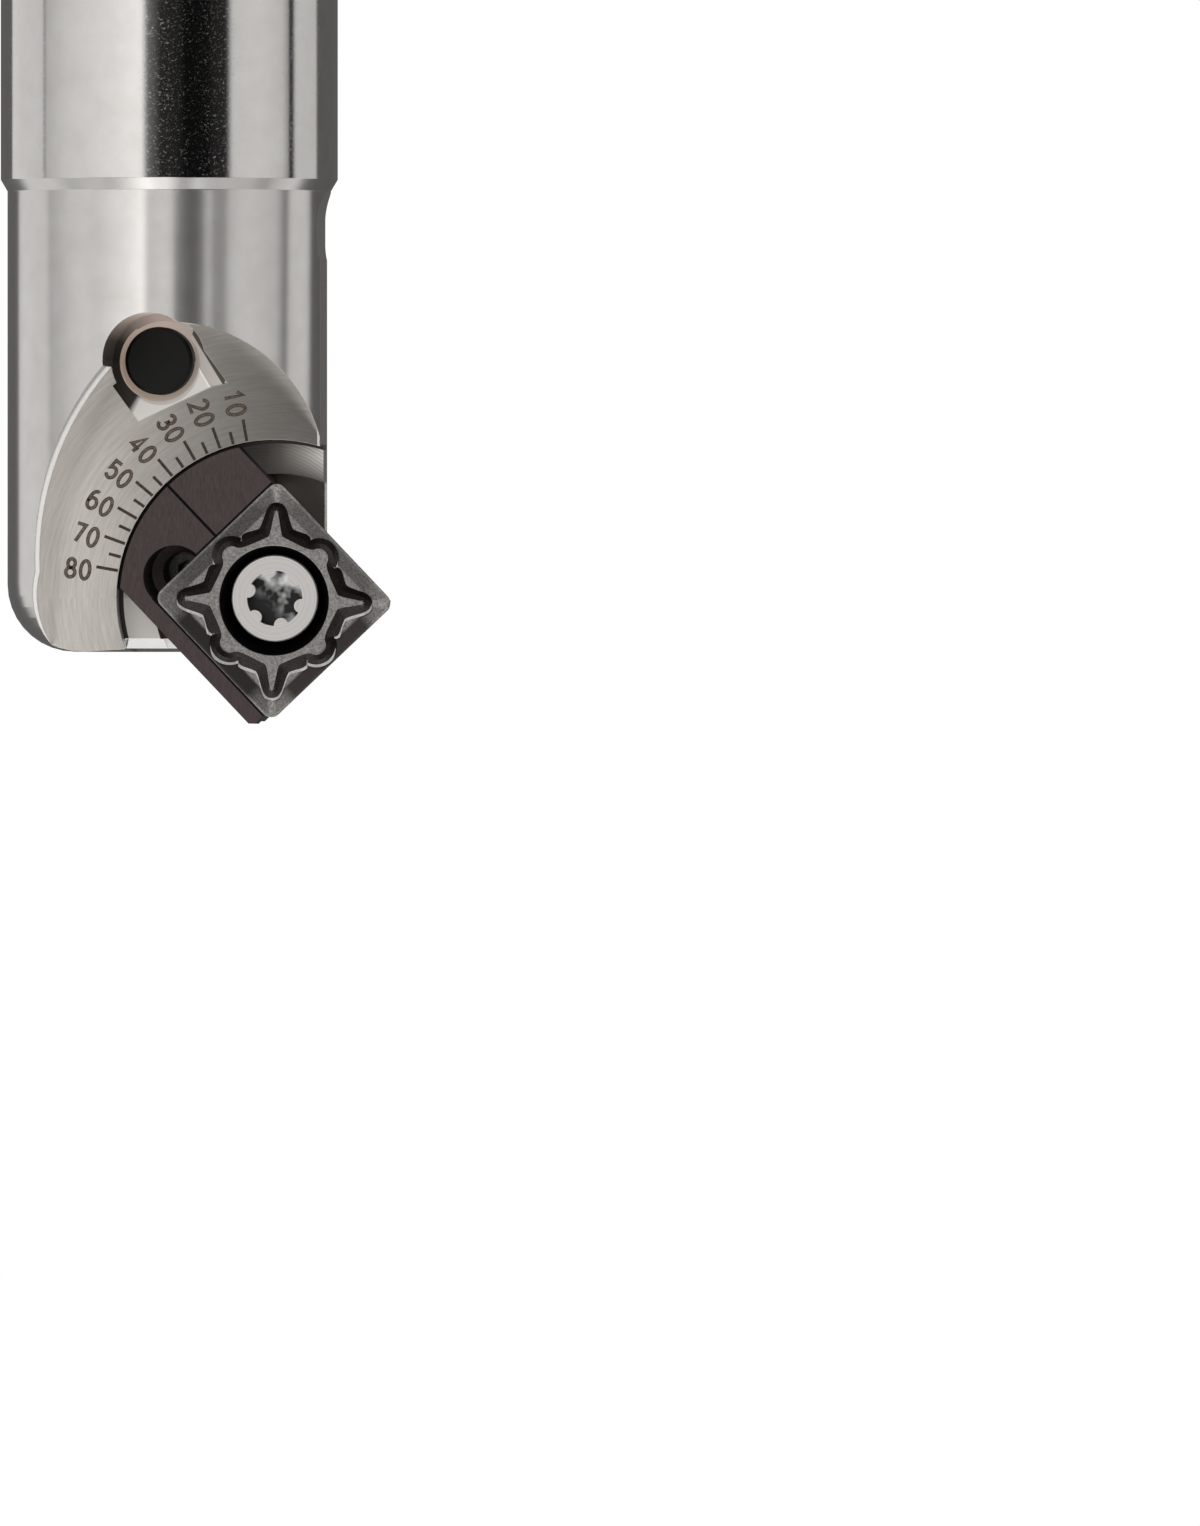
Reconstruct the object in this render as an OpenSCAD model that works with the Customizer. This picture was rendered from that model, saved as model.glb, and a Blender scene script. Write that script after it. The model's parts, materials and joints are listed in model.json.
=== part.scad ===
// Adjustable chamfer mill with a straight shank and one square indexable insert.
// The insert sits in a swivelling holder that is set against a scale from 10 to 80 degrees.
// +Z runs up the shank and the cutting end points down; the scale face looks along -Y.
// The origin lies on the tool's axis, where the shank meets the cone of the head.

/* [Shank] */
// Diameter of the plain cylindrical shank
shank_d = 25; // [24.5:0.5:32]
// Length of the shank above the head
shank_l = 56; // [40:1:80]
// Bevel around the shank's free end
shank_bevel = 1; // [0.4:0.1:2]
// Diameter of the central coolant bore
coolant_d = 5; // [3:0.5:7]

/* [Head] */
// Diameter of the head
head_d = 24; // [23.6:0.1:24.4]
// Length of the head from the shank to its lowest rim
head_l = 35; // [34.6:0.1:37]
// Length of the cone between shank and head
cone_l = 0.85; // [0.5:0.05:1.5]
// Radius of the turned lower corner
corner_r = 5; // [3:0.5:6]
// Angle by which the end face rises towards the axis
end_angle = 4; // [1:0.5:6]
// Diameter of the turned relief in the end face
end_relief_d = 6.8; // [4:0.2:8]
// Height of that relief above the lowest rim
end_relief_h = 0.94; // [0.6:0.02:1.4]
// Distance from the axis to the flat on the head's side
side_flat = 11.47; // [11.2:0.01:11.7]
// Extra depth of the cutter's dip at the top of that flat
dip_depth = 0.17; // [0.05:0.01:0.4]
// Radius of the cutter that ran out at the top of that flat
dip_r = 4; // [3:0.5:6]

/* [Scale face] */
// Distance from the axis to the flat scale face
face_offset = 3.5; // [3.2:0.05:4]
// Radius of the long wall left of the scale
wall_r = 21.4; // [20.5:0.1:22.5]
// Radius of the wall above the scale
crown_r = 10.6; // [10.2:0.05:11]
// Radius of the lobe below the scale
lobe_r = 6.75; // [6.2:0.05:7]

/* [Swivel] */
// Scale reading that the holder is set to
setting = 43.5; // [10:0.5:80]
// Distance from the tool's axis to the swivel axis
pivot_x = 8.1; // [7.8:0.05:8.3]
// Height of the swivel axis above the lowest rim
pivot_rise = 3.95; // [3.6:0.05:4.4]
// Room between the insert's corners and the wall of the upper recess
recess_room = 2.77; // [2.6:0.01:3]
// Depth of the upper recess below the scale face
recess_depth = 3.5; // [3:0.1:4]
// Room between the insert's corners and the wall of the lower recess
base_recess_room = 0.27; // [0.1:0.01:0.5]
// Depth of the lower recess below the upper one
base_recess_depth = 3.4; // [3.2:0.05:3.5]
// Diameter of the boss that the holder swivels on
boss_d = 6.4; // [6:0.1:7]
// Height of that boss above the floor of the lower recess
boss_h = 2.4; // [2:0.1:2.6]
// Running clearance around the boss and under the holder
running_gap = 0.05; // [0.02:0.01:0.1]

/* [Holder] */
// Gap between the holder's arc and the upper recess
arc_gap = 0.25; // [0.15:0.05:0.4]
// Width from the swivel axis to the holder's upper side
upper_side = 5.77; // [5.5:0.01:6]
// Width of the rail beside the insert
rail_w = 1.28; // [1:0.02:1.6]
// Distance from the swivel axis to the holder's cut-off end
holder_end = 5.75; // [5.4:0.05:6]
// Bevel at the rail's free corner
rail_bevel = 0.35; // [0.1:0.05:0.6]
// Width of the pointer line
pointer_w = 0.2; // [0.1:0.05:0.4]
// Depth of the pointer line
pointer_depth = 0.12; // [0.05:0.01:0.3]

/* [Insert] */
// Diameter of the circle inscribed in the insert
inscribed_d = 12.7; // [12.4:0.1:12.8]
// Thickness of the insert
insert_t = 3.97; // [3.9:0.01:4.1]
// Clearance angle of the flanks
flank_angle = 7; // [5:0.5:9]
// Radius of the insert's corners
nose_r = 0.8; // [0.6:0.1:1.2]
// Diameter of the hole through the insert
insert_hole_d = 5.5; // [5.3:0.1:5.8]
// Diameter of the hole's mouth at the top face
insert_mouth_d = 8.2; // [7.8:0.1:8.6]
// Depth over which the mouth narrows to the hole
insert_mouth_depth = 1.8; // [1.5:0.1:2]
// Offset of the insert's centre from the swivel axis along the pointer line
insert_shift_u = 0.1; // [0:0.01:0.15]
// Offset of the insert's centre from the swivel axis across the pointer line
insert_shift_v = -0.15; // [-0.16:0.01:0]
// Width of the land along the cutting edges
land_w = 0.15; // [0.1:0.01:0.3]
// Depth of the chip groove below the cutting edges
groove_depth = 0.4; // [0.2:0.05:0.45]
// Width of the sloped rake face between land and groove
rake_w = 1; // [0.7:0.05:1.1]

/* [Insert screw] */
// Thread diameter of the insert screw
screw_d = 4.5; // [4:0.1:4.6]
// Diameter of the screw's head
screw_head_d = 6.45; // [6.2:0.05:6.6]
// Height of the head's rim
screw_rim_h = 0.4; // [0.2:0.05:0.6]
// Distance from the top face of the insert down to the head
screw_head_drop = 0.15; // [0:0.05:0.3]
// Height of the head's cone
screw_cone_h = 1.7; // [1.5:0.05:1.8]
// Length of thread in the boss and the body behind it
screw_grip = 3.4; // [2.6:0.1:3.6]
// Diameter across the lobes of the six-lobe socket
socket_d = 4.1; // [3.6:0.1:4.4]
// Depth of the six-lobe socket
socket_depth = 1.6; // [1:0.1:2]

/* [Lock screw] */
// Thread diameter of the lock screw
lock_d = 3; // [2.5:0.1:3.4]
// Diameter of the counterbore above the lock screw
lock_mouth_d = 4.56; // [4.2:0.02:4.8]
// Depth of that counterbore along its axis
lock_mouth_depth = 2.5; // [2.2:0.1:2.8]
// Tilt of the lock screw away from the swivel axis
lock_tilt = 10; // [6:1:12]
// Width across the flats of its hexagon socket
lock_hex = 1.5; // [1.2:0.1:1.8]

/* [Coolant plug] */
// Diameter of the black plug
plug_d = 5.04; // [4.6:0.02:5.2]
// Length of the plug
plug_l = 3; // [2.4:0.1:3.4]
// Height of the plug's face above the pocket's floor at its axis
plug_proud = 0.8; // [0.5:0.05:1]
// Distance of the plug's axis from the tool's axis
plug_x = -0.55; // [-0.8:0.05:-0.3]
// Depth of the plug's axis below the shank
plug_drop = 13.45; // [13:0.05:13.8]
// Radius of the pocket around the plug
plug_pocket_r = 3.5; // [3.3:0.05:3.7]
// Slope of the pocket's floor
plug_slope = 22; // [18:1:25]
// Width of the bevel around the plug at the scale face
plug_bevel = 0.8; // [0.4:0.05:1]

/* [Hidden] */
$fn = 96;

shank_r = shank_d / 2;
head_r = head_d / 2;
face_y = -face_offset;
upper_floor_y = face_y + recess_depth;
lower_floor_y = upper_floor_y + base_recess_depth;
pivot_z = pivot_rise - head_l;
corner_reach = inscribed_d / 2 * sqrt(2);
recess_r = corner_reach + recess_room;
base_recess_r = corner_reach + base_recess_room;
through = 60;
skin = 0.01;

// Heights in the holder's own frame, counted from the insert's seat towards the front
front_gap = 0.05;
seat_y = face_y + front_gap + insert_t;
plate_top = insert_t;
plate_floor = seat_y - upper_floor_y + running_gap;
base_floor = seat_y - lower_floor_y + running_gap;
boss_top = seat_y - lower_floor_y + boss_h;

// Insert outline in the holder's frame
half_side = inscribed_d / 2;
seat_gap = 0.02;
seat_left = insert_shift_u - half_side - seat_gap;
seat_low = insert_shift_v - half_side - seat_gap;
rail_side = seat_low - rail_w;
holder_r = recess_r - arc_gap;
base_r = base_recess_r - running_gap;

// Lock screw: the mouth of its counterbore lies beside the insert's inner corner
lock_u = seat_left - 0.05;
lock_v = seat_low + lock_mouth_d / 2 - 0.04;
lock_turn = 76;
lock_bore_gap = 0.03;
lock_socket_depth = 1.2;
// Way along the tilted axis from the front face down to the floor of the lower recess
lock_reach = (plate_top - (seat_y - lower_floor_y)) / cos(lock_tilt);
lock_tip_r = 0.9;
lock_tip_h = lock_d / 2 - lock_tip_r;
lock_tip_gap = lock_tip_r * tan(lock_tilt) + 0.03;
lock_seat = lock_mouth_depth + lock_mouth_d / 2 * tan(31);
lock_top_gap = 0.6;
lock_l = lock_reach - lock_tip_gap - lock_seat - lock_top_gap;

// Milled outline of the scale face: leftmost points of its walls and heights of their centres
wall_left = -9.38;
wall_z = -28.05;
crown_x = 1.07;
crown_z = -21.27;
lobe_left = -9.58;
lobe_z = -30.8;

// Plug pocket: its ramp runs down to the right, and x is counted along it from the plug
plug_gap = 0.02;
plug_z = -plug_drop;
ramp_turn = -54;
ramp_left = -3.84;
ramp_right = 3.2;
ramp_start = -0.5;
ramp_end = [3.93, 2.15];
floor_turn = 10.4;
ledge_turn = 25;
ledge_slope = plug_slope + 1.5;
bevel_depth = 2.5;
// Distance up the sloped floor from its start to the plug's axis
plug_climb = 3.49;
plug_axis_y = face_y + plug_climb * tan(plug_slope);
plug_back_y = plug_axis_y - plug_proud + plug_l;

// Places children in the holder's frame: x along the pointer line, z towards the front
module holder_frame() {
    translate([pivot_x, seat_y, pivot_z])
        rotate([90, 0, 0])
            rotate([0, 0, setting - 90])
                children();
}

// Extrudes a front-view outline between two depths
module front_prism(back_y, front_y) {
    translate([0, back_y, 0])
        rotate([90, 0, 0])
            linear_extrude(back_y - front_y)
                children();
}

// A round bore or pin that runs along Y
module y_rod(x, z, r, back_y, front_y) {
    translate([x, back_y, z])
        rotate([90, 0, 0])
            cylinder(r = r, h = back_y - front_y);
}

// Turned outline of shank and head
module body_blank() {
    corner_x = head_r - corner_r;
    corner_z = corner_r - head_l;
    relief_r = end_relief_d / 2;
    rim_rise = (corner_x - relief_r) * tan(end_angle);
    rotate_extrude()
        polygon(concat(
            [[0, end_relief_h - head_l],
             [relief_r - 0.2, end_relief_h - head_l],
             [relief_r, rim_rise - head_l]],
            [for (a = [-90 : 10 : 0]) [corner_x + corner_r * cos(a), corner_z + corner_r * sin(a)]],
            [[head_r, -cone_l],
             [shank_r, 0],
             [shank_r, shank_l - shank_bevel],
             [shank_r - shank_bevel, shank_l],
             [0, shank_l]]));
}

// Front-view outline of the milled scale face
module scale_outline() {
    intersection() {
        translate([wall_left + wall_r, wall_z]) circle(r = wall_r, $fn = 160);
        union() {
            translate([crown_x, crown_z]) circle(r = crown_r, $fn = 128);
            translate([-head_d, crown_z - 2 * head_d]) square([2 * head_d, 2 * head_d]);
        }
    }
    translate([lobe_left + lobe_r, lobe_z]) circle(r = lobe_r);
}

// Stepped round recess that the holder turns in, with the boss left standing
module swivel_recess() {
    y_rod(pivot_x, pivot_z, recess_r, upper_floor_y, -through, $fn = 160);
    difference() {
        y_rod(pivot_x, pivot_z, base_recess_r, lower_floor_y, upper_floor_y - skin, $fn = 160);
        y_rod(pivot_x, pivot_z, boss_d / 2, lower_floor_y + 1, lower_floor_y - boss_h);
    }
}

// Flat along the head's side, with the dip where the cutter entered
module side_flat_cut() {
    dip_x = side_flat - dip_depth + dip_r;
    dip_top = -3.1;
    dip_low = -4.8;
    for (z = [dip_top, dip_low])
        translate([dip_x, head_d, z])
            rotate([90, 0, 0])
                cylinder(r = dip_r, h = 2 * head_d);
    translate([side_flat - dip_depth, -head_d, dip_low])
        cube([dip_r, 2 * head_d, dip_top - dip_low]);
    translate([side_flat, -head_d, -2 * head_l])
        cube([head_d, 2 * head_d, 2 * head_l + dip_low]);
}

// Space in front of a plane that rises out of the scale face at the ramp's end
module above_ramp(turn, slope) {
    reach = 12;
    translate([plug_x, face_y, plug_z])
        rotate([0, -ramp_turn, 0])
            translate([ramp_end[0], 0, ramp_end[1]])
                rotate([0, turn, 0])
                    rotate([0, 0, -slope])
                        translate([-reach, -through, -reach])
                            cube([2 * reach, through, 2 * reach]);
}

// Pocket around the plug: round at the top, with a floor and a ledge beside it that both
// rise towards the insert until they run out in the scale face
module plug_pocket() {
    intersection() {
        union() {
            y_rod(plug_x, plug_z, plug_pocket_r, through, -through);
            front_prism(through, -through)
                translate([plug_x, plug_z])
                    rotate(ramp_turn)
                        translate([ramp_start, ramp_left])
                            square([head_r, ramp_right - ramp_left]);
        }
        union() {
            above_ramp(floor_turn, plug_slope);
            above_ramp(ledge_turn, ledge_slope);
        }
    }
}

module cutter_body() {
    plug_r = plug_d / 2 + plug_gap;
    color([0.78, 0.76, 0.74]) difference() {
        body_blank();
        front_prism(face_y, -through) scale_outline();
        swivel_recess();
        side_flat_cut();
        plug_pocket();
        y_rod(plug_x, plug_z, plug_r, plug_back_y, -through);
        translate([plug_x, face_y + bevel_depth, plug_z])
            rotate([90, 0, 0])
                cylinder(r1 = plug_r, r2 = plug_r + plug_bevel, h = bevel_depth);
        translate([0, 0, plug_z])
            cylinder(d = coolant_d, h = through + shank_l);
        y_rod(pivot_x, pivot_z, screw_d / 2 + plug_gap,
              lower_floor_y - boss_h + screw_grip + 0.2, upper_floor_y);
    }
}

module coolant_plug() {
    rim = 0.25;
    color([0.07, 0.07, 0.08])
        translate([plug_x, plug_back_y, plug_z])
            rotate([90, 0, 0]) {
                cylinder(d = plug_d, h = plug_l - rim);
                translate([0, 0, plug_l - rim])
                    cylinder(d1 = plug_d, d2 = plug_d - 2 * rim, h = rim);
            }
}

// Square block with flanks that lean in towards the seat, between two corners
module flank_block(low, high, height, corner) {
    lean = height * tan(flank_angle);
    foot = max(corner - lean, skin);
    hull()
        for (x = [low[0] + corner, high[0] - corner])
            for (y = [low[1] + corner, high[1] - corner])
                translate([x, y, 0])
                    cylinder(r1 = foot, r2 = corner, h = height, $fn = 32);
}

// Front-view outline of the holder, open towards the cutting edges
module holder_outline(r) {
    intersection() {
        circle(r = r, $fn = 160);
        polygon([[-2 * r, rail_side],
                 [holder_end - rail_bevel, rail_side],
                 [holder_end, rail_side + rail_bevel],
                 [holder_end, upper_side],
                 [-2 * r, upper_side]]);
    }
}

// Places children on the lock screw's axis, z = 0 at the front face and z falling inwards
module lock_frame() {
    translate([lock_u, lock_v, plate_top])
        rotate([0, 0, lock_turn])
            rotate([0, -lock_tilt, 0])
                children();
}

module lock_bore() {
    lock_frame() {
        translate([0, 0, -lock_mouth_depth])
            cylinder(d = lock_mouth_d, h = lock_mouth_depth + 2);
        translate([0, 0, -lock_seat])
            cylinder(d1 = skin, d2 = lock_mouth_d, h = lock_seat - lock_mouth_depth);
        translate([0, 0, -lock_reach - 2])
            cylinder(d = lock_d + 2 * lock_bore_gap, h = lock_reach + 2);
    }
}

module swivel_holder() {
    seat_far = 4 * half_side;
    color([0.33, 0.29, 0.29]) holder_frame() difference() {
        union() {
            translate([0, 0, plate_floor])
                linear_extrude(plate_top - plate_floor)
                    holder_outline(holder_r);
            translate([0, 0, base_floor])
                linear_extrude(plate_floor - base_floor + skin)
                    holder_outline(base_r);
        }
        flank_block([seat_left, seat_low], [seat_far, seat_far], insert_t, nose_r);
        translate([0, 0, base_floor - 1])
            cylinder(r = boss_d / 2 + running_gap, h = 2 * insert_t);
        translate([-2 * holder_r, -pointer_w / 2, plate_top - pointer_depth])
            cube([2 * holder_r, pointer_w, 1]);
        lock_bore();
    }
}

// One eighth of the chip breaker's outline as [angle from a corner, radius] on an insert
// with a half side of star_side; the lobe between two corners is an arc
star_side = 6.35;
lobe_centre = 4.55;
crest_lobe_r = 0.77;
foot_lobe_r = 1.42;
crest_spike_r = 6.72;
foot_spike_r = 7.26;
function lobe_point(a, r) = let (
    x = lobe_centre + r * cos(a),
    y = r * sin(a)
) [45 - atan2(y, x), norm([x, y])];
crest_eighth = concat(
    [[1.4, 6.62], [5.6, 4.85], [8, 4.75], [29, 4.55]],
    [for (a = [80 : -20 : 20]) lobe_point(a, crest_lobe_r)]);
foot_eighth = concat(
    [[5.1, 6.95], [11.6, 5.45], [15, 5.33], [27.5, 5.45]],
    [for (a = [80 : -20 : 20]) lobe_point(a, foot_lobe_r)]);
function quarter(eighth, tip, peak) = concat(
    [[0, tip]],
    eighth,
    [[45, peak]],
    [for (i = [len(eighth) - 1 : -1 : 0]) [90 - eighth[i][0], eighth[i][1]]]);
function ring(eighth, tip, peak, z) = [
    for (q = [0 : 3]) for (p = quarter(eighth, tip, peak))
        [p[1] * half_side / star_side * cos(p[0] + 90 * q + 45),
         p[1] * half_side / star_side * sin(p[0] + 90 * q + 45), z]];

// Raised middle of the insert's top: a star with four narrow spikes and four lobes
module chip_breaker() {
    crest_peak = lobe_centre + crest_lobe_r;
    foot_peak = lobe_centre + foot_lobe_r;
    low = ring(foot_eighth, foot_spike_r, foot_peak, insert_t - groove_depth);
    high = ring(crest_eighth, crest_spike_r, crest_peak, insert_t);
    over = ring(crest_eighth, crest_spike_r, crest_peak, insert_t + 1);
    under = ring(foot_eighth, foot_spike_r, foot_peak, insert_t - 1);
    n = len(low);
    rings = concat(under, low, high, over);
    polyhedron(
        points = rings,
        faces = concat(
            [[for (i = [0 : n - 1]) i]],
            [for (k = [0 : 2]) for (i = [0 : n - 1])
                [k * n + i, (k + 1) * n + i, (k + 1) * n + (i + 1) % n, k * n + (i + 1) % n]],
            [[for (i = [n - 1 : -1 : 0]) 3 * n + i]]));
}

// Sloped rake faces and the groove floor, drawn as the space above them
module chip_groove() {
    edge = half_side - land_w;
    floor_edge = edge - rake_w;
    difference() {
        hull() {
            for (s = [-1, 1]) for (t = [-1, 1]) {
                translate([s * (edge - nose_r), t * (edge - nose_r), insert_t])
                    cylinder(r = nose_r, h = skin, $fn = 32);
                translate([s * (floor_edge - nose_r / 2), t * (floor_edge - nose_r / 2),
                           insert_t - groove_depth])
                    cylinder(r = nose_r / 2, h = skin, $fn = 32);
            }
        }
        chip_breaker();
    }
}

module cutting_insert() {
    color([0.36, 0.36, 0.37]) holder_frame()
        translate([insert_shift_u, insert_shift_v, 0])
            difference() {
                flank_block([-half_side, -half_side], [half_side, half_side], insert_t, nose_r);
                chip_groove();
                translate([0, 0, -1]) cylinder(d = insert_hole_d, h = insert_t + 2);
                translate([0, 0, insert_t - insert_mouth_depth])
                    cylinder(d1 = insert_hole_d, d2 = insert_mouth_d, h = insert_mouth_depth);
                translate([0, 0, insert_t]) cylinder(d = insert_mouth_d, h = 1);
            }
}

// Six-lobe socket outline
module six_lobe(d) {
    lobe = d * 0.13;
    difference() {
        circle(d = d);
        for (a = [0 : 60 : 300])
            rotate(a + 30) translate([d * 0.5, 0]) circle(r = lobe, $fn = 24);
    }
}

module insert_screw() {
    head_top = insert_t - screw_head_drop;
    cone_top = head_top - screw_rim_h;
    tip = boss_top - screw_grip;
    rim_bevel = 0.1;
    color([0.75, 0.75, 0.76]) holder_frame() difference() {
        union() {
            translate([0, 0, cone_top])
                cylinder(d = screw_head_d, h = screw_rim_h - rim_bevel);
            translate([0, 0, head_top - rim_bevel])
                cylinder(d1 = screw_head_d, d2 = screw_head_d - 2 * rim_bevel, h = rim_bevel);
            translate([0, 0, cone_top - screw_cone_h])
                cylinder(d1 = screw_d, d2 = screw_head_d, h = screw_cone_h);
            translate([0, 0, tip + rim_bevel])
                cylinder(d = screw_d, h = cone_top - tip - rim_bevel);
            translate([0, 0, tip])
                cylinder(d1 = screw_d - 4 * rim_bevel, d2 = screw_d, h = rim_bevel);
        }
        translate([0, 0, head_top - socket_depth])
            linear_extrude(socket_depth + 1)
                six_lobe(socket_d);
    }
}

module lock_screw() {
    tip = -lock_reach + lock_tip_gap;
    color([0.16, 0.15, 0.15]) holder_frame() lock_frame() difference() {
        union() {
            translate([0, 0, tip + lock_tip_h]) cylinder(d = lock_d, h = lock_l - lock_tip_h);
            translate([0, 0, tip]) cylinder(r1 = lock_tip_r, d2 = lock_d, h = lock_tip_h);
        }
        translate([0, 0, tip + lock_l - lock_socket_depth])
            cylinder(d = lock_hex / cos(30), h = lock_socket_depth + 1, $fn = 6);
    }
}

cutter_body();
coolant_plug();
swivel_holder();
cutting_insert();
insert_screw();
lock_screw();
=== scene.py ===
import json
import math

import bpy
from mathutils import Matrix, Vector


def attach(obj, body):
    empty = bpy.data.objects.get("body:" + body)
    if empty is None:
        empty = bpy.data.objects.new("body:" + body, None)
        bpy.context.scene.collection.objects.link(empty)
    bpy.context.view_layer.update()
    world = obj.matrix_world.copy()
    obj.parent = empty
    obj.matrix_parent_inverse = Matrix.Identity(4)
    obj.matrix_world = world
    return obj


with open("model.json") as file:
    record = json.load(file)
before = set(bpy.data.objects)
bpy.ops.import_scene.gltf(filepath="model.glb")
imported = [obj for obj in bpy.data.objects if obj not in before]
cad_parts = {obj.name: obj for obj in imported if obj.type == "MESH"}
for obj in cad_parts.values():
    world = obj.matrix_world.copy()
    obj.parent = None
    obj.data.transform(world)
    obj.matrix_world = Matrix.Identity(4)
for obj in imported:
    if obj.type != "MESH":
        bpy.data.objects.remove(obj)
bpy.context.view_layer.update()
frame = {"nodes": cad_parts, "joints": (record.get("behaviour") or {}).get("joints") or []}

# Lengths are in millimetres and colours are linear, unless a comment says otherwise
MM = 0.001

# The photograph's frame: its size, its scale, the tool's axis and the shank's lower end
PHOTO_W, PHOTO_H = 1200, 1526
PX_PER_MM = 13.48
AXIS_PX = 169.3
SHANK_END_PX = 179.9
CAMERA_AZIMUTH = 4.0
CAMERA_DISTANCE = 3000.0
SENSOR = 36.0
# In metres
CLIP_START, CLIP_END = 0.01, 20.0

# The swivel axis, from the frame, and the holder's setting on its scale in degrees
SWIVEL = next(j for j in frame["joints"] if j["name"] == "holder_swivel")
PIVOT_X = SWIVEL["pos_m"][0] / MM
PIVOT_Z = SWIVEL["pos_m"][2] / MM
SETTING = 43.5
HOLDER_TURN = math.radians(SETTING - 90)

# The cutter body: its head with a rounded lower corner, how deep the turned skin reaches,
# and where the cone ends and the shank's skin starts
HEAD_R, CORNER_R, CORNER_Z = 12.0, 5.0, -30.0
SKIN = 0.2
CONE_END = -0.9
SHANK_SKIN_R = 12.4
# The scale face, the two floors behind it, and the cut surfaces' highest point
FACE_Y, UPPER_FLOOR_Y, LOWER_FLOOR_Y = -3.5, 0.0, 3.4
CUT_TOP = -8.5
# The upper floor's foot, the wall of the scale face's outline, the gap around the holder's
# base by its distance from the swivel axis, and the relief of the end face
FOOT_Z = -31.0
OUTLINE_WALL_X = -4.05
GAP_FROM, GAP_TO = 11.5, 11.9
RELIEF_Z, RELIEF_FRONT, RELIEF_BACK = -34.02, -0.4, 11.0
# The plug, and how far its pocket and its bevelled ring reach
PLUG_X, PLUG_Z = -0.55, -13.45
POCKET_R, POCKET_WALL_R, POCKET_BACK = 5.2, 5.0, 4.0
RING_R = 3.0
# The ledge in the pocket: the direction it lies in from the plug, its distances that way,
# its highest point, and the distances over which its mask fades in
LEDGE_X, LEDGE_Z = 0.842, 0.539
LEDGE_FROM, LEDGE_TO, LEDGE_TOP = 2.09, 3.29, 2.4
LEDGE_EDGE = (2.10, 2.14)

# The holder's front and a place just behind it, and its seat walls, the lines of painted shade
# beside them and its pointer line, from the swivel axis
TOP_Y = -3.45
TOP_BACK = TOP_Y + 0.02
SEAT_LEFT, SEAT_LOW = -6.27, -6.52
SEAT_LINE_OUT, SEAT_LINE_IN = 0.14, 0.1
POINTER_HALF_W, POINTER_DEPTH = 0.13, 0.3

# The insert's middle from the swivel axis, its thickness and its hole's mouth
INSERT_U, INSERT_V = 0.1, -0.15
INSERT_T = 3.97
MOUTH_R, MOUTH_Y = 4.15, TOP_Y + 0.03
# The insert screw's socket
SOCKET_R, SOCKET_Y = 2.1, TOP_Y + 0.2


def direction(azimuth):
    """Unit vector that points from the tool to a place at this azimuth."""
    a = math.radians(azimuth)
    return Vector((math.sin(a), -math.cos(a), 0.0))


def unit(value):
    """The value, held between 0 and 1."""
    return min(max(value, 0.0), 1.0)


def aim_along(obj, line):
    """Turns a camera or a lamp to look along this line."""
    obj.rotation_mode = "QUATERNION"
    obj.rotation_quaternion = line.to_track_quat("-Z", "Y")


def mesh_object(name, verts, faces, mat):
    """A new object in the scene, from points in metres."""
    mesh = bpy.data.meshes.new(name)
    mesh.from_pydata(verts, [], faces)
    mesh.update()
    mesh.materials.append(mat)
    obj = bpy.data.objects.new(name, mesh)
    bpy.context.scene.collection.objects.link(obj)
    return obj


# Camera

def make_camera():
    """A distant camera that gives the photograph's frame at its scale."""
    back = direction(CAMERA_AZIMUTH)
    right = direction(CAMERA_AZIMUTH + 90)
    across = (PHOTO_W / 2 - AXIS_PX) / PX_PER_MM
    down = (PHOTO_H / 2 - SHANK_END_PX) / PX_PER_MM
    target = (right * across - Vector((0, 0, down))) * MM
    data = bpy.data.cameras.new("camera")
    data.sensor_width = SENSOR
    data.lens = SENSOR * CAMERA_DISTANCE / (PHOTO_H / PX_PER_MM)
    data.clip_start = CLIP_START
    data.clip_end = CLIP_END
    cam = bpy.data.objects.new("camera", data)
    bpy.context.scene.collection.objects.link(cam)
    cam.location = target + back * CAMERA_DISTANCE * MM
    aim_along(cam, -back)
    bpy.context.scene.camera = cam


# Node helpers

EDGE_SAMPLES = 6
# Cosines between the rounded and the true normal where a painted edge highlight starts and where
# it is full
HIGHLIGHT_COSINES = (0.995, 0.93)


def grey(v):
    return (v, v, v, 1.0)


def rgb(r, g, b):
    return (r, g, b, 1.0)


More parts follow.
